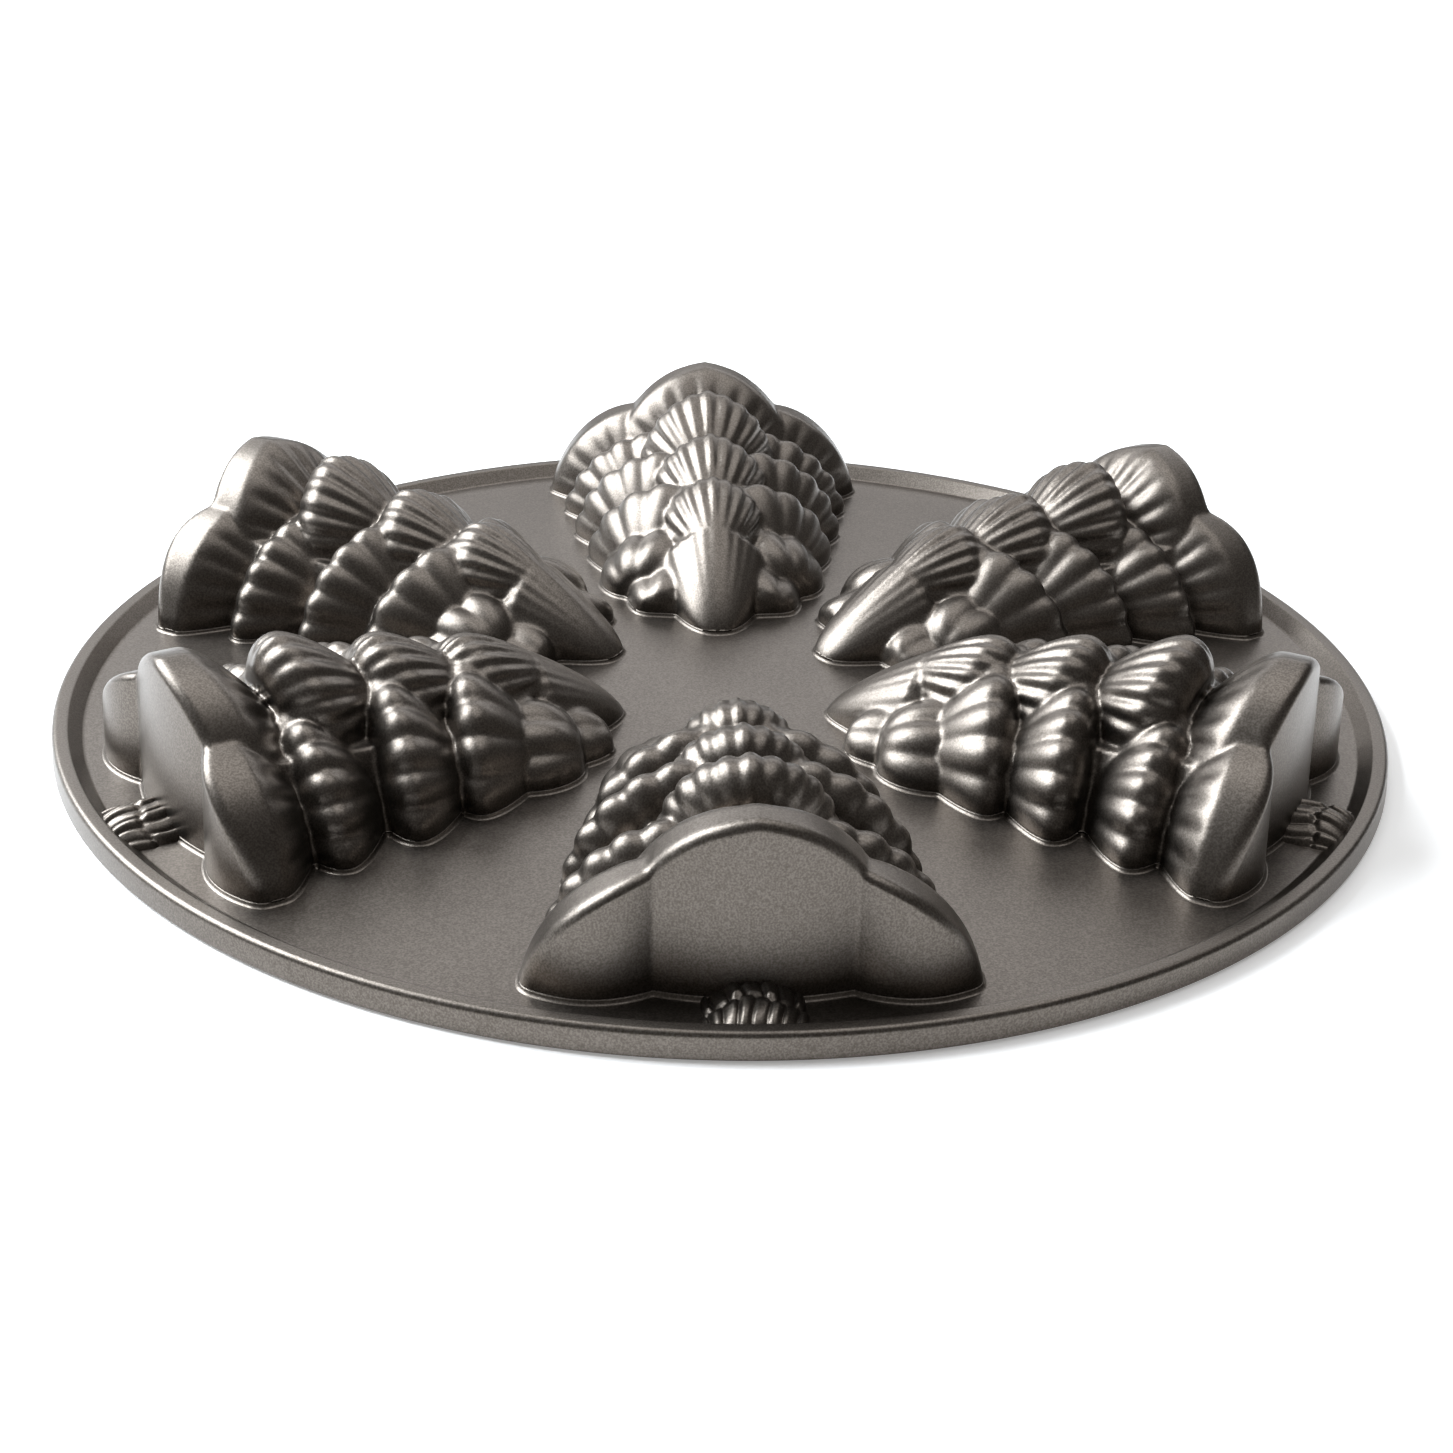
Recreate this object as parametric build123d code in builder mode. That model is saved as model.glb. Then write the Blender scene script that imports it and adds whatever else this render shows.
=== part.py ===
"""Cakelet pan with six fir-tree cups, cast in aluminium and lying with its cups upwards.

Millimetres, +Z up. The deck's flat face lies on z = 0 and the pan's axis is the Z axis.
The pan is one casting. Its deck, its rim, its six tree cups and their six trunks are written
as separate solids that meet face to face where a pattern maker would part them.
"""

import os
from math import acos, cos, degrees, radians, sin, tan

from build123d import *

os.makedirs("parts", exist_ok=True)

# Pan
pan_diameter = 292.0
deck_thickness = 2.5
wall = 3.0
draft = 2.5
tree_count = 6

# Rim: a thicker band round the deck with a broken outer edge
rim_height = 5.4
rim_outer_draft = 0.4
rim_outer_edge = 1.4
rim_land = 1.8
rim_inner_slope = 3.0

# Tree: its length is what the rim and the plain circle in the pan's middle leave for it.
# Places along its axis are shares of that length, from the end wall towards the middle.
middle_circle = 26.7
end_wall_joint = 17.7
end_wall_recess = 1.9
end_wall_bulge = 0.8
side_wall_bulge = 1.1
side_wall_width = 21.0
tree_half_width = 46.0

# Boughs: each swells from its tip side to a crest and rounds off at its base side
rib_depth = 1.3
end_wall_scale = 0.85

# Keel boughs: place of the crest, height on the deck, radius of the arch
keel_boughs = (
    (0.067, 34.5, 24.0),
    (0.255, 34.2, 17.3),
    (0.457, 29.7, 15.0),
    (0.644, 25.3, 13.0),
)
keel_rib_count = 5
keel_spread = 66.0
keel_sweep = 14.0
keel_tip_reach = 13.5
keel_tip_scale = 0.44
keel_base_reach = 8.5
keel_base_scale = 0.64

# Tip bough: the rounded cone at the tree's top
tip_crest = 0.788
tip_height = 18.2
tip_radius = 13.3
tip_point_scale = 0.04
tip_middle_scale = 0.68
tip_base_reach = 5.0
tip_base_scale = 0.72

# Side boughs: place of the foot's crest, half width there, the arch's centre out from the
# axis and below the deck's face, the angle where its ribs start, ribs, lean towards the tip
side_boughs = (
    (0.082, 41.3, 12.0, 5.0, 16.0, 5, 0.0),
    (0.226, 38.0, 10.0, 5.5, 6.0, 5, 2.0),
    (0.385, 35.0, 8.0, 3.2, 4.0, 5, 11.0),
    (0.529, 31.5, 7.0, 4.0, 4.0, 4, 19.0),
    (0.663, 27.8, 12.0, 3.2, -10.0, 3, 16.0),
    (0.774, 21.8, 10.0, 3.2, -20.0, 2, 5.0),
)
hollow_facet_count = 2
side_tip_reach = 11.5
side_tip_scale = 0.5
side_base_reach = 5.5
side_base_scale = 0.8
end_bough_reach = 9.5
side_pivot_out = 4.0
side_pivot_height = 2.5

# Heartwood under the boughs: place, half width at the foot, height
heartwood_ends = ((0.788, 17.5, 8.5), (0.0, 35.5, 20.0))
heartwood_side_slope = 0.65

# Trunk: a low round boss with lengthwise bark ribs, from the end wall to the rim's slope
trunk_length = 8.7
trunk_height = 4.7
trunk_half_width = 9.7
trunk_rib_count = 6
bark_depth = 0.7

rim_radius = pan_diameter / 2
rim_top_radius = rim_radius - rim_outer_draft
rim_crest_radius = rim_top_radius - rim_outer_edge - rim_land
rim_inner_radius = rim_crest_radius - rim_inner_slope
end_wall_x = rim_inner_radius - trunk_length
tree_length = end_wall_x - middle_circle
tree_top = deck_thickness + max(height for _, height, _ in keel_boughs)

# How far the cutting shapes run past what they cut
overrun = 12.0


def along(share):
    """Place on the tree's axis that lies this share of its length back from the end wall."""
    return end_wall_x - share * tree_length


def ribbed_arch(centre, radius, start, spread, half_ribs, depth, starts_on_rib):
    """Ribs and grooves of an arch about a centre, its angles measured from straight up.

    Without a depth only the ribs and the two ends are kept, so that a flat lies between ribs.
    """
    points = []
    for k in range(half_ribs + 1):
        on_rib = (k % 2 == 0) == starts_on_rib
        if on_rib or depth or k in (0, half_ribs):
            angle = radians(start + spread * k / half_ribs)
            r = radius if on_rib else radius - depth
            points.append((centre[0] + r * sin(angle), centre[1] + r * cos(angle)))
    return points


def faceted_solid(sections):
    """Closed solid with a flat facet between each pair of matching edges of its sections."""
    count = len(sections[0])
    facets = [sections[0], sections[-1]]
    for near, far in zip(sections, sections[1:]):
        for k in range(count):
            after = (k + 1) % count
            facets.append([near[k], near[after], far[after], far[k]])
    return Solid(Shell([Face(Wire.make_polygon(facet)) for facet in facets]))


def bough(outline_at, pivot, crest_x, stations, lean):
    """Ribbed bough: its outline grows from the tip side to the crest and shrinks behind it."""
    sections = []
    for place, scale in stations:
        station = Plane(
            origin=(crest_x + place, 0, 0),
            x_dir=(sin(radians(lean)), cos(radians(lean)), 0),
            z_dir=(cos(radians(lean)), -sin(radians(lean)), 0),
        )
        sections.append(
            [
                station.from_local_coords(
                    (pivot[0] + scale * (y - pivot[0]), pivot[1] + scale * (z - pivot[1]))
                )
                for y, z in outline_at(scale)
            ]
        )
    return faceted_solid(sections)


def drawn_in(station, inset):
    """The same slope from the crest to a station, stopped short of it by the cast wall."""
    place, scale = station
    kept = 1 - inset / abs(place)
    return place * kept, 1 - (1 - scale) * kept


def keel_bough(share, height, radius, inset):
    """Left half of a bough that rides on the tree's keel, with a rib along the keel."""
    centre = (0, deck_thickness + height - radius)
    half_spread = keel_spread * keel_rib_count / (keel_rib_count + 1)
    steps = hollow_facet_count if inset else keel_rib_count
    depth = 0 if inset else rib_depth

    def outline_at(scale):
        arch = ribbed_arch(centre, radius - inset / scale, 0, half_spread, steps, depth, True)
        return arch + [(arch[-1][0], 0), (0, 0)]

    base = (keel_base_reach, keel_base_scale)
    if share * tree_length < keel_base_reach:
        base = (keel_base_reach, end_wall_scale)
    tip = (-keel_tip_reach, keel_tip_scale)
    stations = [drawn_in(tip, inset), (0, 1), drawn_in(base, inset)]
    return bough(outline_at, centre, along(share), stations, -keel_sweep)


def tip_bough(inset):
    """Left half of the rounded cone at the tree's top, down to the deck."""
    centre = (0, deck_thickness + tip_height - tip_radius)
    depth = 0 if inset else rib_depth
    arch = ribbed_arch(centre, tip_radius - inset, 0, keel_spread, keel_rib_count, depth, True)
    outline = arch + [(arch[-1][0], -overrun), (0, -overrun)]
    tip_reach = tree_length * (1 - tip_crest) - inset
    stations = [(-tip_reach, tip_point_scale), (-tip_reach / 2, tip_middle_scale), (0, 1)]
    if not inset:
        stations.append((tip_base_reach, tip_base_scale))
    return bough(lambda scale: outline, (0, deck_thickness), along(tip_crest), stations, 0)


def side_bough(share, half_width, out, drop, rib_start, ribs, lean, inset):
    """A bough on the tree's left flank, from under the keel boughs down to the deck."""
    centre = (out, deck_thickness - drop)
    foot = half_width / cos(radians(lean)) - out
    radius = (foot**2 + drop**2) ** 0.5
    spread = degrees(acos(drop / (radius - inset))) - rib_start
    steps = hollow_facet_count if inset else 2 * ribs
    depth = 0 if inset else rib_depth
    starts_on_rib = bool(inset)

    def outline_at(scale):
        r = radius - inset / scale
        arch = ribbed_arch(centre, r, rib_start, spread, steps, depth, starts_on_rib)
        return [(0, -overrun), (0, arch[0][1])] + arch + [(arch[-1][0], -overrun)]

    pivot = (out + side_pivot_out, deck_thickness + side_pivot_height)
    crest_x = along(share) - half_width * tan(radians(lean))
    base = (side_base_reach, side_base_scale)
    if share * tree_length < end_bough_reach:
        base = (end_bough_reach, end_wall_scale)
    tip = (-side_tip_reach, side_tip_scale)
    stations = [drawn_in(tip, inset), (0, 1), drawn_in(base, inset)]
    return bough(outline_at, pivot, crest_x, stations, lean)


def heartwood(inset):
    """Plain wedge under the boughs, which fills the tree's middle below their grooves."""
    sections = []
    for share, half_width, height in heartwood_ends:
        side = half_width - inset
        top = height - inset
        roof = deck_thickness + top
        outline = (
            (0, -overrun),
            (side, -overrun),
            (side, deck_thickness),
            (side - heartwood_side_slope * top, roof),
            (0, roof),
        )
        sections.append([(along(share), y, z) for y, z in outline])
    return faceted_solid(sections)


def end_wall_cutter(inset):
    """Block with the tree's flat end, leaning back by the draft: three bulges, two creases."""
    lean_back = Plane(
        origin=(end_wall_x - inset, 0, deck_thickness),
        x_dir=(cos(radians(draft)), 0, sin(radians(draft))),
        z_dir=(-sin(radians(draft)), 0, cos(radians(draft))),
    )
    corner_y = end_wall_joint + side_wall_width - inset
    far_x = -tree_length - overrun
    with BuildPart() as cutter:
        with BuildSketch(lean_back):
            with BuildLine():
                ThreePointArc(
                    (-end_wall_recess, -end_wall_joint),
                    (end_wall_bulge, 0),
                    (-end_wall_recess, end_wall_joint),
                )
                for side in (1, -1):
                    ThreePointArc(
                        (-end_wall_recess, side * end_wall_joint),
                        (side_wall_bulge, side * (end_wall_joint + corner_y) / 2),
                        (-end_wall_recess, side * corner_y),
                    )
                    Polyline(
                        (-end_wall_recess, side * corner_y),
                        (-overrun, side * tree_half_width),
                        (far_x, side * tree_half_width),
                        (far_x, 0),
                    )
            make_face()
        extrude(amount=tree_top + overrun, both=True)
    return cutter.part


def half_tree(inset):
    """Left half of the tree, whole or drawn in by the cast wall, with its flat end cut."""
    boughs = [keel_bough(*row, inset) for row in keel_boughs]
    boughs += [side_bough(*row, inset) for row in side_boughs]
    boughs += [tip_bough(inset), heartwood(inset)]
    with BuildPart() as tree:
        add(boughs)
        add(end_wall_cutter(inset), mode=Mode.INTERSECT)
    return tree.part


def trunk_block(inset, inner_x, outer_x):
    """Half-round bar along the tree's axis, with bark ribs where it is the outside."""
    radius = (trunk_half_width**2 + trunk_height**2) / (2 * trunk_height)
    spread = degrees(acos((radius - trunk_height) / (radius - bark_depth)))
    centre = (0, deck_thickness + trunk_height - radius)
    with BuildPart() as bar:
        with BuildSketch(Plane(origin=(inner_x, 0, 0), x_dir=(0, 1, 0), z_dir=(1, 0, 0))):
            with BuildLine():
                depth = 0 if inset else bark_depth
                r = radius - inset
                arch = ribbed_arch(centre, r, -spread, 2 * spread, 2 * trunk_rib_count, depth, False)
                below = [(arch[-1][0], -overrun), (arch[0][0], -overrun)] if inset else []
                Polyline(*arch, *below, close=True)
            make_face()
        extrude(amount=outer_x - inner_x)
    return bar.part


# Rim
with BuildPart() as rim:
    with BuildSketch(Plane.XZ):
        with BuildLine():
            Polyline(
                (rim_crest_radius, rim_height),
                (rim_inner_radius, deck_thickness),
                (rim_inner_radius, 0),
                (rim_radius, 0),
                (rim_top_radius, rim_height - rim_outer_edge),
                (rim_top_radius - rim_outer_edge, rim_height),
                close=True,
            )
        make_face()
    revolve(axis=Axis.Z)
rim.part.label = "rim"
export_step(rim.part, "parts/rim.step")

# Tree cup: outside and hollow made as left halves, then mirrored about the keel
outside_half = half_tree(0)
hollow_half = half_tree(wall)
trunk_hollow = trunk_block(wall, end_wall_x - 2 * wall, rim_inner_radius - wall)
with BuildPart() as tree_cup:
    add(outside_half)
    split(bisect_by=Plane.XY.offset(deck_thickness), keep=Keep.TOP)
    add([hollow_half, trunk_hollow], mode=Mode.SUBTRACT)
    mirror(about=Plane.XZ)

# Trunk
with BuildPart() as trunk:
    add(trunk_block(0, end_wall_x - end_wall_recess - wall, rim_crest_radius))
    add([outside_half, mirror(outside_half, about=Plane.XZ, mode=Mode.PRIVATE)], mode=Mode.SUBTRACT)
    add([rim.part, trunk_hollow], mode=Mode.SUBTRACT)

# Mouth of one tree and its trunk in the deck
with BuildPart() as mouth:
    add(hollow_half)
    add(trunk_hollow)
    split(bisect_by=Plane.XY.offset(deck_thickness), keep=Keep.BOTTOM)
    split(bisect_by=Plane.XY, keep=Keep.TOP)
    split(bisect_by=Plane.XZ, keep=Keep.BOTTOM)
    mirror(about=Plane.XZ)

# Deck
tree_angles = [360 / tree_count * (k + 0.5) for k in range(tree_count)]
with BuildPart() as deck:
    Cylinder(rim_inner_radius, deck_thickness, align=(Align.CENTER, Align.CENTER, Align.MIN))
    for angle in tree_angles:
        add(mouth.part, rotation=(0, 0, angle), mode=Mode.SUBTRACT)
deck.part.label = "deck"
export_step(deck.part, "parts/deck.step")

# Six cups and trunks round the pan
for number, angle in enumerate(tree_angles, start=1):
    for name, piece in (("tree_cup", tree_cup.part), ("trunk", trunk.part)):
        with BuildPart() as placed:
            add(piece, rotation=(0, 0, angle))
        placed.part.label = f"{name}_{number}"
        export_step(placed.part, f"parts/{name}_{number}.step")
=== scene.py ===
import math

import bmesh
import bpy
import numpy as np
from mathutils import Matrix, Vector


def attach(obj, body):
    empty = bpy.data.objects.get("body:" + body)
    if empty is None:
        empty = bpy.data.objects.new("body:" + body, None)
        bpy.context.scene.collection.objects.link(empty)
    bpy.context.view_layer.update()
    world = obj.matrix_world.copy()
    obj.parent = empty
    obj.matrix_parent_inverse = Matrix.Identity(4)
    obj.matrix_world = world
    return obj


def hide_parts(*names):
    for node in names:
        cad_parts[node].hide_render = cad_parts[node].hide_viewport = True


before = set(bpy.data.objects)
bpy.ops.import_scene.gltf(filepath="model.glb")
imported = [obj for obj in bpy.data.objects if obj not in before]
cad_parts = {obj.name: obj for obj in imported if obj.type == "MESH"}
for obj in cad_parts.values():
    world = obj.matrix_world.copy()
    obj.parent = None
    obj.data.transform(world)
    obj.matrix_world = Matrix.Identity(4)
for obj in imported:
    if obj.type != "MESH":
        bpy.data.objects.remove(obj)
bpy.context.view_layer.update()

# Photographer's set: a white sweep of paper that carries the pan, a soft key light at the left,
# a long light behind and a large one overhead, and a camera that looks down from the front.
picture_pixels = 1453
lens_pixels = 2320.0
sensor_width = 36.0
look_down = math.radians(26.17)
camera_turn = math.radians(-3.24)
camera_roll = math.radians(1.56)
camera_distance = 0.5087
aim = Vector((0.00126, -0.0171, 0.0))
back = Vector((0, -math.cos(look_down), math.sin(look_down)))
right = Vector((1, 0, 0))
up = Vector((0, math.sin(look_down), math.cos(look_down)))
side = right * math.cos(camera_roll) + up * math.sin(camera_roll)
top = up * math.cos(camera_roll) - right * math.sin(camera_roll)
camera = bpy.data.objects.new("camera", bpy.data.cameras.new("camera"))
bpy.context.scene.collection.objects.link(camera)
camera.data.sensor_width = sensor_width
camera.data.lens = lens_pixels * sensor_width / picture_pixels
stand = Matrix((side, top, back)).transposed().to_4x4()
stand.translation = aim + back * camera_distance
camera.matrix_world = Matrix.Rotation(camera_turn, 4, "Z") @ stand
bpy.context.scene.camera = camera


def soft_light(name, place, target, width, height, watts, tint):
    lamp = bpy.data.lights.new(name, "AREA")
    lamp.shape = "RECTANGLE"
    lamp.size, lamp.size_y = width, height
    lamp.energy, lamp.color = watts, tint
    lantern = bpy.data.objects.new(name, lamp)
    lantern.location = place
    lantern.rotation_euler = (Vector(place) - Vector(target)).to_track_quat("Z", "Y").to_euler()
    bpy.context.scene.collection.objects.link(lantern)


soft_light("key_light", (-0.80, 0.35, 0.75), (0, 0, 0), 0.8, 0.8, 37, (0.90, 0.955, 1.0))
soft_light("back_light", (0.2, 1.5, 0.85), (0, 0, 0), 2.4, 0.6, 9.0, (0.97, 0.98, 1.0))
soft_light("roof_light", (0.3, 0.6, 2.2), (0, 0.3, 0), 2.0, 2.0, 24, (0.98, 0.99, 1.0))

room = bpy.data.worlds.new("room")
room.use_nodes = True
room.node_tree.nodes["Background"].inputs["Color"].default_value = (0.14, 0.134, 0.127, 1)
room.node_tree.nodes["Background"].inputs["Strength"].default_value = 1.0
bpy.context.scene.world = room
bpy.context.scene.view_settings.view_transform = "Standard"


class Shade:
    """Output socket of a material node, so that shader maths reads as plain maths."""

    def __init__(self, tree, socket):
        self.tree, self.socket = tree, socket

    def node(self, kind, settings=None, out=0, **sockets):
        made = self.tree.nodes.new(kind)
        for key, value in (settings or {}).items():
            if key == "stops":
                ramp = made.color_ramp.elements
                while len(ramp) < len(value):
                    ramp.new(0.5)
                for stop, (position, grey) in zip(ramp, value):
                    stop.position, stop.color = position, (grey, grey, grey, 1)
            else:
                setattr(made, key, value)
        for key, value in sockets.items():
            entry = int(key[1:]) if key[1:].isdigit() else key.replace("_", " ")
            if isinstance(value, Shade):
                self.tree.links.new(value.socket, made.inputs[entry])
            else:
                made.inputs[entry].default_value = value
        return Shade(self.tree, made.outputs[out])

    def maths(self, operation, a, b):
        return self.node("ShaderNodeMath", {"operation": operation}, i0=a, i1=b)

    def __add__(self, other):
        return self.maths("ADD", self, other)

    __radd__ = __add__

    def __mul__(self, other):
        return self.maths("MULTIPLY", self, other)

    __rmul__ = __mul__

    def __sub__(self, other):
        return self.maths("SUBTRACT", self, other)

    def __rsub__(self, other):
        return self.maths("SUBTRACT", other, self)

    def mix(self, low, high):
        return self.node(
            "ShaderNodeMix", {"data_type": "RGBA"}, out=2, Factor=self, i6=low, i7=high
        )


def sweep_paper():
    paper = bpy.data.materials.new("sweep_paper")
    paper.use_nodes = True
    tree = paper.node_tree
    face = tree.nodes["Principled BSDF"]
    here = Shade(tree, tree.nodes.new("ShaderNodeNewGeometry").outputs["Position"])
    fibre = here.node("ShaderNodeTexNoise", Vector=here, Scale=900.0, Detail=2.0)
    white = fibre.mix((0.93, 0.93, 0.93, 1), (0.95, 0.95, 0.95, 1))
    tree.links.new(white.socket, face.inputs["Base Color"])
    face.inputs["Roughness"].default_value = 0.9
    face.inputs["Specular IOR Level"].default_value = 0.1
    face.inputs["Emission Color"].default_value = (1, 1, 1, 1)
    face.inputs["Emission Strength"].default_value = 0.27
    return paper


paper_level = -0.0004
paper_corners = [(x, y, paper_level) for x, y in ((-4, -3), (4, -3), (4, 6), (-4, 6))]
paper_mesh = bpy.data.meshes.new("sweep")
paper_mesh.from_pydata(paper_corners, [], [(0, 1, 2, 3)])
paper_mesh.materials.append(sweep_paper())
sweep = bpy.data.objects.new("sweep", paper_mesh)
bpy.context.scene.collection.objects.link(sweep)


# Tree cups: six hollow fir trees of cast aluminium, in one with the pan, under a baked satin
# coat. Keel boughs ride along the middle and side boughs hang down the flanks, each with
# rounded ribs that fan out from its tip side, and the tree's foot is a flat, leaning wall.
def cast_coat(name, dark, light, roughness, pebble):
    """Sprayed and baked coat: a fine metallic speckle over a slightly pebbled skin.

    It is a little browner in broad patches, and its roughness drifts with them.
    """
    coat = bpy.data.materials.new(name)
    coat.use_nodes = True
    tree = coat.node_tree
    face = tree.nodes["Principled BSDF"]
    here = Shade(tree, tree.nodes.new("ShaderNodeTexCoord").outputs["Object"])
    flake = here.node("ShaderNodeTexNoise", Vector=here, Scale=2600.0, Detail=1.0)
    grain = here.node("ShaderNodeTexNoise", Vector=here, Scale=1100.0, Detail=3.0, Roughness=0.6)
    patch = here.node("ShaderNodeTexNoise", Vector=here, Scale=38.0, Detail=3.0)
    speckle = flake.node(
        "ShaderNodeValToRGB", {"stops": ((0.36, 0.0), (0.5, 0.45), (0.66, 1.0))}, Fac=flake
    )
    tone = speckle * 0.5 + grain * 0.35 + patch * 0.3
    colour = tone.mix((*dark, 1), (*light, 1))
    tree.links.new(colour.socket, face.inputs["Base Color"])
    rough = roughness - 0.06 + grain * 0.08 + patch * 0.05
    tree.links.new(rough.socket, face.inputs["Roughness"])
    skin = grain * 0.7 + flake * 0.3
    bump = skin.node("ShaderNodeBump", Strength=pebble, Distance=0.00012, Height=skin)
    tree.links.new(bump.socket, face.inputs["Normal"])
    face.inputs["Metallic"].default_value = 1.0
    face.inputs["Coat Weight"].default_value = 0.12
    face.inputs["Coat Roughness"].default_value = 0.3
    return coat


satin = cast_coat(
    "satin_coat",
    dark=(0.061, 0.051, 0.042),
    light=(0.174, 0.153, 0.135),
    roughness=0.38,
    pebble=0.3,
)


def place(name, mesh, stands_for):
    """Set one finished piece of the casting in the pan, in place of its plain solid."""
    mesh.materials.clear()
    mesh.materials.append(satin)
    for face in mesh.polygons:
        face.use_smooth = True
    piece = bpy.data.objects.new(name, mesh)
    bpy.context.scene.collection.objects.link(piece)
    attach(piece, "root")
    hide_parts(stands_for)
    return piece


MM = 0.001
deck_top = 2.5
wall = 3.0
below = 5.0
tree_angles = [30 + 60 * k for k in range(6)]

end_wall_x = 130.7
draft = math.tan(math.radians(2.5))
panel_joint = 17.7
crease_depth = 1.9
middle_bulge = 2.7
side_bulge = 3.0
side_panel_middle = 28.2
side_panel_half = 10.5


def end_wall(y, z):
    """The tree's flat end: a wide middle panel and two side panels, each a shallow bulge."""
    y = abs(y)
    if y < panel_joint:
        bulge = -crease_depth + middle_bulge * (1 - (y / panel_joint) ** 2)
    else:
        off = (y - side_panel_middle) / side_panel_half
        bulge = -crease_depth + side_bulge * (1 - min(off**2, 3.0))
    return end_wall_x + bulge - (z - deck_top) * draft


def bead(t, depth, sharp):
    """Depth under the rib's top at t, from -1 to 1 across the rib; a sharp groove is narrow."""
    return depth * min(abs(t), 1.0) ** sharp


tip_side_steps = 16
tip_side_drop = 0.54
base_side_steps = 8
base_side_drop = 0.42


def slopes(tip_reach, base_reach):
    """Stations across a bough: place before or behind its crest, size there, share of the way.

    The tip side rounds over into a straight slope. The base side falls off steeply.
    """
    stations = []
    for step in range(-tip_side_steps, 1):
        u = step / tip_side_steps
        stations.append((u * tip_reach, 1 - tip_side_drop * abs(u) ** 1.5, u))
    for step in range(1, base_side_steps + 1):
        u = step / base_side_steps
        rounding = 1 - math.sqrt(1 - (0.98 * u) ** 2)
        stations.append((u * base_reach, 1 - base_side_drop * rounding, u))
    return stations


past_end_wall = 3.0


def squared_end(tip_reach, to_end, radius, edge):
    """Stations of an end bough: sloped to its tip side, then straight on to a rounded edge."""
    stations = [row for row in slopes(tip_reach, 1.0) if row[0] <= 0]
    for degrees in range(0, 91, 15):
        turn = math.radians(degrees)
        place = to_end - edge * (1 - math.sin(turn))
        stations.append((place, 1 - edge * (1 - math.cos(turn)) / radius, 0.0))
    stations.append((to_end + past_end_wall, 1 - edge / radius, 0.0))
    return stations


def shell(rings):
    """Closed skin through rings of points."""
    skin = bmesh.new()
    made = [[skin.verts.new(Vector(point) * MM) for point in ring] for ring in rings]
    count = len(made[0])
    for near, far in zip(made, made[1:]):
        for k in range(count):
            n = (k + 1) % count
            skin.faces.new((near[k], near[n], far[n], far[k]))
    skin.faces.new(made[0])
    skin.faces.new(list(reversed(made[-1])))
    return skin


def groove_depth(inset):
    """Depth of the grooves between ribs: deep on the outside, shallow in the hollow."""
    return 0.4 if inset else 1.3


# A bough this near the end wall is squared off against it, with an edge no sharper than this
end_bough_back = 10
least_edge = 0.5

# Keel boughs: crest's distance back from the end wall, height on the deck, radius of the arch
keel_boughs = ((7.0, 34.5, 24.2), (26.5, 34.2, 17.3), (47.5, 29.7, 15.0), (67.0, 25.3, 13.0))
keel_spread = math.radians(84)
keel_rib_pitch = math.radians(16)
keel_tip_reach = 15.0
keel_base_reach = 6.0
keel_end_edge = 1.9
keel_sweep = math.tan(math.radians(14))
keel_rounding = 3.0
ridge_rise = 0.5
ridge_slope = 0.14
ridge_ease = 0.35
ridge_half = 9.0


def swept(y):
    """How far a keel bough's flank sweeps towards the tree's tip, rounded over the keel."""
    return keel_sweep * (math.hypot(y, keel_rounding) - keel_rounding)


def keel_bough(back, height, radius, inset):
    """Rounded arch over the keel: a beaded rim, and a fan of finer grooves on its tip side."""
    r = radius - inset
    centre_z = deck_top + height - radius
    at_end = back < end_bough_back
    rib = groove_depth(inset)
    samples = 61
    stations = slopes(keel_tip_reach, keel_base_reach - 0.5 * inset)
    if at_end:
        edge = max(keel_end_edge - inset, least_edge)
        stations = squared_end(keel_tip_reach, back - inset, radius, edge)
    rings = []
    for place, scale, u in stations:
        fan = math.sin(math.pi * min(1.0, -1.1 * u)) if u < 0 else 0.5 * u
        depth = rib * (0.7 + 0.5 * fan)
        if at_end:
            depth *= min(1.0, max(0.0, (-u - 0.1) / 0.4))
        to_wall = min(1.0, max(0.0, place / (back - inset))) if at_end else 0.0
        ring = []
        for k in range(samples):
            angle = keel_spread * (2 * k / (samples - 1) - 1)
            t = ((angle / keel_rib_pitch + 0.5) % 1.0) * 2 - 1
            reach = (r - bead(t, depth, 2.4)) * scale
            y = reach * math.sin(angle)
            fall = ridge_slope * (abs(y) - ridge_ease * abs(y) * min(1.0, abs(y) / ridge_half))
            z = centre_z + reach * math.cos(angle) + ridge_rise - fall
            x = end_wall_x - back + place - swept(y) * (1 - to_wall)
            ring.append((x + to_wall * (end_wall(y, z) - end_wall_x), y, z))
        ring.append((ring[-1][0], ring[-1][1] * 0.98, -below))
        ring.append((ring[0][0], ring[0][1] * 0.98, -below))
        rings.append(ring)
    return shell(rings)


# Tip bough: where its point and its crest lie on the tree's axis, and its arch there
tip_point = 26.5
tip_crest = 48.5
tip_radius = 13.3
tip_centre = 5.0
tip_spread = math.radians(96)
tip_rib_pitch = math.radians(13)
tip_back = ((50.5, 0.985), (52.0, 0.93), (53.2, 0.84), (54.4, 0.70))
tip_middle = 40.5
tip_half_length = 16.0


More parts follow.
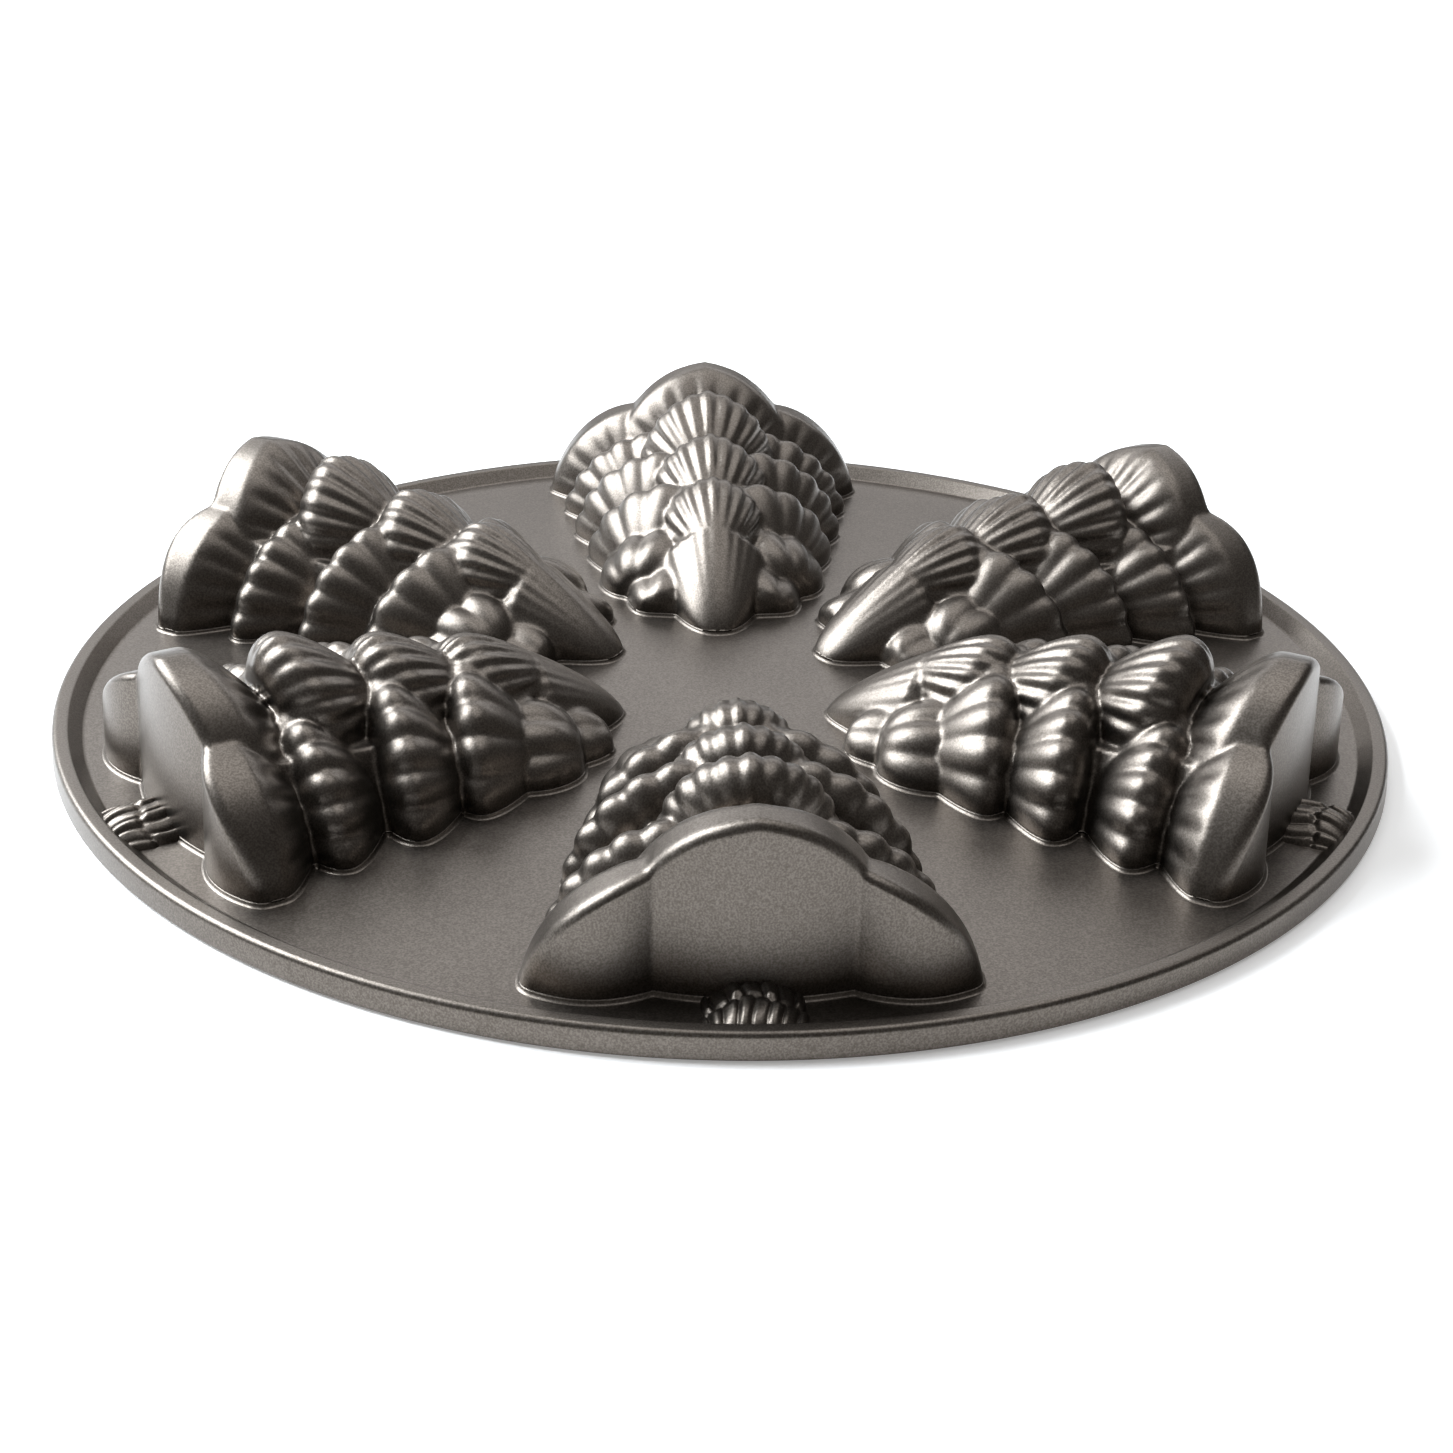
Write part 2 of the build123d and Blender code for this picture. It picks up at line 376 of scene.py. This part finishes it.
def tip_bough(inset):
    """Rounded cone at the tree's top: one big scallop that fans out from the tip."""
    rib = 0.3 if inset else 0.55
    samples = 49
    profile = []
    for k in range(13):
        u = k / 12
        profile.append((tip_point + (tip_crest - tip_point) * u**2, 0.04 + 0.96 * u**0.95))
    rings = []
    for x, scale in (*profile, *tip_back):
        x += inset * (tip_middle - x) / tip_half_length
        ring = []
        for k in range(samples):
            angle = tip_spread * (2 * k / (samples - 1) - 1)
            t = ((angle / tip_rib_pitch + 0.5) % 1.0) * 2 - 1
            reach = (tip_radius - inset - bead(t, rib, 2.6) * scale) * scale
            peak = scale * (ridge_rise - ridge_slope * min(abs(reach * math.sin(angle)), 7.0))
            height = tip_centre * scale + reach * math.cos(angle) + peak
            z = deck_top + height * (scale**0.6 if x < tip_crest + 0.1 else 1.0)
            ring.append((x, reach * math.sin(angle), z))
        ring.append((x, ring[-1][1], -below))
        ring.append((x, ring[0][1], -below))
        rings.append(ring)
    return shell(rings)


# Side boughs: crest's distance back from the end wall, half width at the foot, the arch's
# centre out from the axis and below the deck, where its ribs start, ribs, lean to the tip
side_boughs = (
    (8.5, 41.3, 12.0, 5.0, 16.0, 5, 0.0),
    (23.5, 38.0, 10.0, 5.5, 6.0, 5, 2.0),
    (40.0, 35.0, 8.0, 3.2, 4.0, 5, 11.0),
    (55.0, 31.5, 7.0, 4.0, 4.0, 4, 19.0),
    (69.0, 27.8, 12.0, 3.2, -10.0, 3, 16.0),
    (80.5, 21.8, 10.0, 3.2, -20.0, 2, 5.0),
)
side_tip_reach = 12.0
side_base_reach = 5.4
side_end_edge = 2.4
side_pivot_out = 4.0
side_pivot_height = 2.5
top_bough_back = 60


def side_bough(back, half_width, out, drop, start, ribs, lean, hand, inset):
    """Bough on one flank: a stack of round beads from under the keel boughs to the deck."""
    centre_z = deck_top - drop
    slope = math.radians(lean)
    foot = half_width / math.cos(slope) - out
    radius = math.hypot(foot, drop)
    first = math.radians(start)
    last = math.acos(drop / radius)
    pitch = (last - first) / ribs
    early = first - 1.2 * pitch
    late = last + 0.12
    rib = groove_depth(inset)
    at_end = back < end_bough_back
    at_top = back > top_bough_back
    pivot_y, pivot_z = out + side_pivot_out, deck_top + side_pivot_height
    crest_x = end_wall_x - back - half_width * math.tan(slope)
    samples = 53
    stations = slopes(side_tip_reach, side_base_reach - 0.4 * inset)
    if at_end:
        edge = max(side_end_edge - inset, least_edge)
        stations = squared_end(side_tip_reach, back - inset, radius, edge)
    rings = []
    for place, scale, u in stations:
        depth = rib * (1.0 + 0.35 * min(u, 0.0))
        if at_end:
            depth *= min(1.0, max(0.0, (-u - 0.05) / 0.45))
        if at_top and u < 0:
            scale = 0.15 + 0.85 * math.sqrt(1 - u**2)
        to_wall = min(1.0, max(0.0, place / (back - inset))) if at_end else 0.0
        ring = []
        for k in range(samples):
            angle = early + (late - early) * k / (samples - 1)
            t = (((angle - first) / pitch) % 1.0) * 2 - 1
            reach = radius - inset - bead(t, depth, 2.0)
            y = out + reach * math.sin(angle)
            z = centre_z + reach * math.cos(angle)
            y = pivot_y + scale * (y - pivot_y)
            z = pivot_z + scale * (z - pivot_z)
            ring.append((y, z))
        ring.append((ring[-1][0], -below))
        ring.append((0.0, -below))
        ring.append((0.0, ring[0][1]))
        placed = []
        for y, z in ring:
            px = crest_x + place * math.cos(slope) + y * math.sin(slope)
            py = y * math.cos(slope) - place * math.sin(slope)
            px += to_wall * (end_wall(py, z) - end_wall_x)
            placed.append((px, hand * py, z))
        rings.append(placed if hand > 0 else list(reversed(placed)))
    return shell(rings)


# Heartwood at its two ends: distance back from the end wall, half width, height
heartwood_ends = ((82.0, 17.5, 8.5), (4.0, 34.6, 19.4))
heartwood_side_slope = 0.65


def heartwood(inset):
    """Plain wedge that fills the tree's middle below the grooves between its boughs."""
    rings = []
    for back, half_width, height in heartwood_ends:
        roof = deck_top + height - inset
        foot = half_width - inset
        top = foot - heartwood_side_slope * (height - inset)
        right_side = [(top, roof), (foot, deck_top), (foot, -below)]
        left_side = [(-y, z) for y, z in reversed(right_side)]
        rings.append([(end_wall_x - back, y, z) for y, z in left_side + right_side])
    return shell(rings)


# Trunk's arch, which its hollow follows at one wall's distance
trunk_height = 4.7
trunk_half = 9.7
trunk_radius = (trunk_half**2 + trunk_height**2) / (2 * trunk_height)
trunk_hollow_ends = (122.0, 136.4)
trunk_hollow_half = 7.3
trunk_hollow_top = deck_top + trunk_height - wall


def trunk_hollow():
    """Low half-round space inside the trunk, open to the tree's hollow and to its mouth."""
    rings = []
    reach = trunk_radius - wall
    for x in trunk_hollow_ends:
        ring = []
        for k in range(13):
            angle = math.radians(49 * (k / 6 - 1))
            z = trunk_hollow_top - reach * (1 - math.cos(angle))
            ring.append((x, reach * math.sin(angle), z))
        ring += [(x, ring[-1][1], -below), (x, ring[0][1], -below)]
        rings.append(ring)
    return shell(rings)


end_wall_zone = 12


def press_to_end_wall(skin, inset):
    """Bring all that stands past the tree's flat end back to it, save the trunk's hollow."""
    for v in skin.verts:
        low = v.co.z < (trunk_hollow_top + 0.1) * MM
        in_trunk = inset and abs(v.co.y) < trunk_hollow_half * MM and low
        if v.co.x > (end_wall_x - end_wall_zone) * MM and not in_trunk:
            v.co.x = min(v.co.x, (end_wall(v.co.y / MM, v.co.z / MM) - inset) * MM)


smoothing_passes = 3


def grown_together(shells, grain, inset):
    """One skin over all the shells, pressed flat at the tree's end, its joints rounded."""
    heap = bpy.data.meshes.new("heap")
    pile = bmesh.new()
    for part in shells:
        scrap = bpy.data.meshes.new("scrap")
        bmesh.ops.recalc_face_normals(part, faces=part.faces)
        part.to_mesh(scrap)
        part.free()
        pile.from_mesh(scrap)
        bpy.data.meshes.remove(scrap)
    pile.to_mesh(heap)
    pile.free()
    lump = bpy.data.objects.new("lump", heap)
    bpy.context.scene.collection.objects.link(lump)
    weld = lump.modifiers.new("weld", "REMESH")
    weld.mode = "VOXEL"
    weld.voxel_size = grain * MM
    bpy.context.view_layer.update()
    settled = lump.evaluated_get(bpy.context.evaluated_depsgraph_get())
    mesh = bpy.data.meshes.new_from_object(settled)
    bpy.data.objects.remove(lump)
    bpy.data.meshes.remove(heap)
    skin = bmesh.new()
    skin.from_mesh(mesh)
    bpy.data.meshes.remove(mesh)
    press_to_end_wall(skin, inset)
    bmesh.ops.remove_doubles(skin, verts=skin.verts, dist=0.12 * MM)
    for _ in range(smoothing_passes):
        bmesh.ops.smooth_vert(
            skin, verts=skin.verts, factor=0.5, use_axis_x=True, use_axis_y=True, use_axis_z=True
        )
    press_to_end_wall(skin, inset)
    return skin


def open_edge_loops(skin):
    """Border loops of the skin, each as its vertices in order."""
    border = {v: [] for e in skin.edges if e.is_boundary for v in e.verts}
    for e in skin.edges:
        if e.is_boundary:
            border[e.verts[0]].append(e.verts[1])
            border[e.verts[1]].append(e.verts[0])
    loops, seen = [], set()
    for start in border:
        if start in seen:
            continue
        loop, here, last = [], start, None
        while here not in seen:
            seen.add(here)
            loop.append(here)
            ahead = [v for v in border[here] if v is not last and v not in seen]
            last = here
            if not ahead:
                break
            here = ahead[0]
        loops.append(loop)
    return loops


fillet_steps = 4


def cut_and_flare(skin, level, lip):
    """Cut the skin off level, turn its edge out in a small round fillet, return the new edge."""
    cut = (level + lip) * MM
    bmesh.ops.bisect_plane(
        skin, geom=skin.verts[:] + skin.edges[:] + skin.faces[:], dist=1e-7,
        plane_co=(0, 0, cut), plane_no=(0, 0, 1), clear_inner=True,
    )
    rim = max(open_edge_loops(skin), key=len)
    spots = np.array([v.co[:2] for v in rim])
    run = np.roll(spots, -3, axis=0) - np.roll(spots, 3, axis=0)
    ahead = np.roll(spots, -1, axis=0)
    anticlockwise = np.sum(spots[:, 0] * ahead[:, 1] - ahead[:, 0] * spots[:, 1]) > 0
    out = np.stack([run[:, 1], -run[:, 0]], axis=1) * (1 if anticlockwise else -1)
    out /= np.maximum(np.linalg.norm(out, axis=1, keepdims=True), 1e-9)
    for step in range(1, fillet_steps + 1):
        a = math.pi / 2 * step / fillet_steps
        push, fall = lip * (1 - math.cos(a)) * MM, lip * math.sin(a) * MM
        ring = [
            skin.verts.new((*(spot + turn * push), cut - fall)) for spot, turn in zip(spots, out)
        ]
        for k in range(len(ring)):
            n = (k + 1) % len(ring)
            quad = (rim[k], rim[n], ring[n], ring[k])
            skin.faces.new(quad if anticlockwise else quad[::-1])
        rim = ring
    return [tuple(v.co) for v in rim]


def tree_skin(inset, grain):
    """Outside of one tree, or its hollow, drawn in by the inset, before it is cut level."""
    shells = [keel_bough(*row, inset) for row in keel_boughs]
    shells += [side_bough(*row, hand, inset) for row in side_boughs for hand in (1, -1)]
    shells += [tip_bough(inset), heartwood(inset)]
    if inset:
        shells.append(trunk_hollow())
    return grown_together(shells, grain, inset)


outside = tree_skin(0.0, grain=0.55)
cut_and_flare(outside, deck_top - 0.05, lip=1.0)
hollow = tree_skin(wall, grain=0.7)
mouth_line = cut_and_flare(hollow, 0.0, lip=0.8)
bmesh.ops.reverse_faces(hollow, faces=hollow.faces)
hollow_mesh = bpy.data.meshes.new("hollow")
hollow.to_mesh(hollow_mesh)
outside.from_mesh(hollow_mesh)
cup_mesh = bpy.data.meshes.new("tree_cup")
outside.to_mesh(cup_mesh)
for number, angle in enumerate(tree_angles, start=1):
    cup = place(f"fir_cup_{number}", cup_mesh, f"tree_cup_{number}")
    cup.matrix_world = Matrix.Rotation(math.radians(angle), 4, "Z")


# Deck: the flat sheet of the casting, 2.5 mm thick, with the mouths of the six trees in it.
# Its lower face is the one that the batter is poured and levelled on.
deck_radius = 139.6
turned_sides = 360


def turned_ring(radius, z):
    """Circle round the pan's axis, as its points in metres."""
    ring = []
    for k in range(turned_sides):
        angle = 2 * math.pi * k / turned_sides
        ring.append(Vector((radius * math.cos(angle), radius * math.sin(angle), z)) * MM)
    return ring


deck_skin = bmesh.new()
for z in (0.0, deck_top):
    edges = []
    loops = [turned_ring(deck_radius, z)]
    for angle in tree_angles:
        turn = Matrix.Rotation(math.radians(angle), 3, "Z")
        loops.append([turn @ Vector((x, y, z * MM)) for x, y, _ in mouth_line])
    for loop in loops:
        verts = [deck_skin.verts.new(p) for p in loop]
        edges += [deck_skin.edges.new(pair) for pair in zip(verts, verts[1:] + verts[:1])]
    bmesh.ops.triangle_fill(
        deck_skin, edges=edges, use_beauty=True, normal=(0, 0, 1 if z else -1)
    )
deck_mesh = bpy.data.meshes.new("deck")
deck_skin.to_mesh(deck_mesh)
place("deck_sheet", deck_mesh, "deck")


# Rim: the thicker band round the deck, turned to a clean outer face. Its inner slope runs down
# to the deck, and its edges are rounded as a casting's are. Corners: radius, height, rounding.
rim_corners = (
    (deck_radius, 0.0, 0.0),
    (146.0, 0.0, 0.5),
    (145.6, 5.4, 1.2),
    (142.4, 5.4, 0.7),
    (139.4, deck_top, 1.2),
    (137.6, 2.47, 0.0),
)
rounding_steps = 6


def round_corner(before, corner, after, radius):
    """Points of a small round in place of a sharp corner of a turned profile."""
    a, c, b = Vector(before), Vector(corner), Vector(after)
    one, two = (a - c).normalized(), (b - c).normalized()
    half = one.angle(two) / 2
    start = radius / math.tan(half)
    middle = c + (one + two).normalized() * (radius / math.sin(half))
    p, q = c + one * start - middle, c + two * start - middle
    return [
        tuple(middle + (p * (1 - t) + q * t).normalized() * radius)
        for t in (k / rounding_steps for k in range(rounding_steps + 1))
    ]


profile = [rim_corners[0][:2]]
for before, corner, after in zip(rim_corners, rim_corners[1:], rim_corners[2:]):
    profile += round_corner(before[:2], corner[:2], after[:2], corner[2])
profile.append(rim_corners[-1][:2])
rim_skin = bmesh.new()
rows = [[rim_skin.verts.new(p) for p in turned_ring(radius, z)] for radius, z in profile]
for near, far in zip(rows, rows[1:]):
    for k in range(turned_sides):
        n = (k + 1) % turned_sides
        rim_skin.faces.new((near[k], near[n], far[n], far[k]))
bmesh.ops.recalc_face_normals(rim_skin, faces=rim_skin.faces)
rim_mesh = bpy.data.meshes.new("rim")
rim_skin.to_mesh(rim_mesh)
place("rim_band", rim_mesh, "rim")


# Trunks: low half-round bosses between each tree's flat end and the rim's slope, cast in one
# with the pan. Two staggered rows of bark plates stand on them, with narrow gaps between.
trunk_start = 127.5
trunk_end = 142.2
trunk_fall_start = 136.2
trunk_fall_length = 6.0
trunk_rows = 48
trunk_sides = 120
bark_plates = 7.5
bark_depth = 1.1
trunk_foot = (142.4, 4.6)


def bark(u, v):
    """Height of the bark: two rows of long plates along the trunk, staggered by half."""
    split_at = 0.56 + 0.05 * math.sin(11 * u)
    row = 0 if v < split_at else 1
    t = (u * bark_plates + 0.5 * row + 0.22 * math.sin(6 * v + 3 * u)) % 1.0
    plate = (1 - abs(2 * t - 1) ** 2.6) * (0.75 + 0.25 * math.sin(23 * u + 5 * row))
    ends = min(1.0, abs(v - split_at) / 0.08)
    return plate * (0.3 + 0.7 * ends)


trunk_skin = bmesh.new()
rows = []
sweep_angle = math.asin(trunk_half / trunk_radius)
for i in range(trunk_rows + 1):
    v = i / trunk_rows
    x = trunk_start + (trunk_end - trunk_start) * v
    fall = max(0.0, (x - trunk_fall_start) / trunk_fall_length)
    row = []
    for k in range(trunk_sides + 1):
        u = k / trunk_sides
        angle = sweep_angle * (2 * u - 1)
        y = trunk_radius * math.sin(angle) * (1 - 0.12 * fall**2)
        rise = trunk_radius * math.cos(angle) - trunk_radius + trunk_height
        rise *= math.sqrt(max(0.0, 1 - 0.72 * fall**2))
        rise = rise + bark_depth * bark(u, v) - bark_depth
        row.append(trunk_skin.verts.new((x * MM, y * MM, (deck_top + max(rise, -1.0)) * MM)))
    rows.append(row)
foot_x, foot_z = trunk_foot
rows.append([trunk_skin.verts.new((foot_x * MM, v.co.y, foot_z * MM)) for v in rows[-1]])
for near, far in zip(rows, rows[1:]):
    for k in range(trunk_sides):
        trunk_skin.faces.new((near[k], near[k + 1], far[k + 1], far[k]))
bmesh.ops.recalc_face_normals(trunk_skin, faces=trunk_skin.faces)
trunk_mesh = bpy.data.meshes.new("trunk")
trunk_skin.to_mesh(trunk_mesh)
for number, angle in enumerate(tree_angles, start=1):
    trunk = place(f"bark_trunk_{number}", trunk_mesh, f"trunk_{number}")
    trunk.matrix_world = Matrix.Rotation(math.radians(angle), 4, "Z")
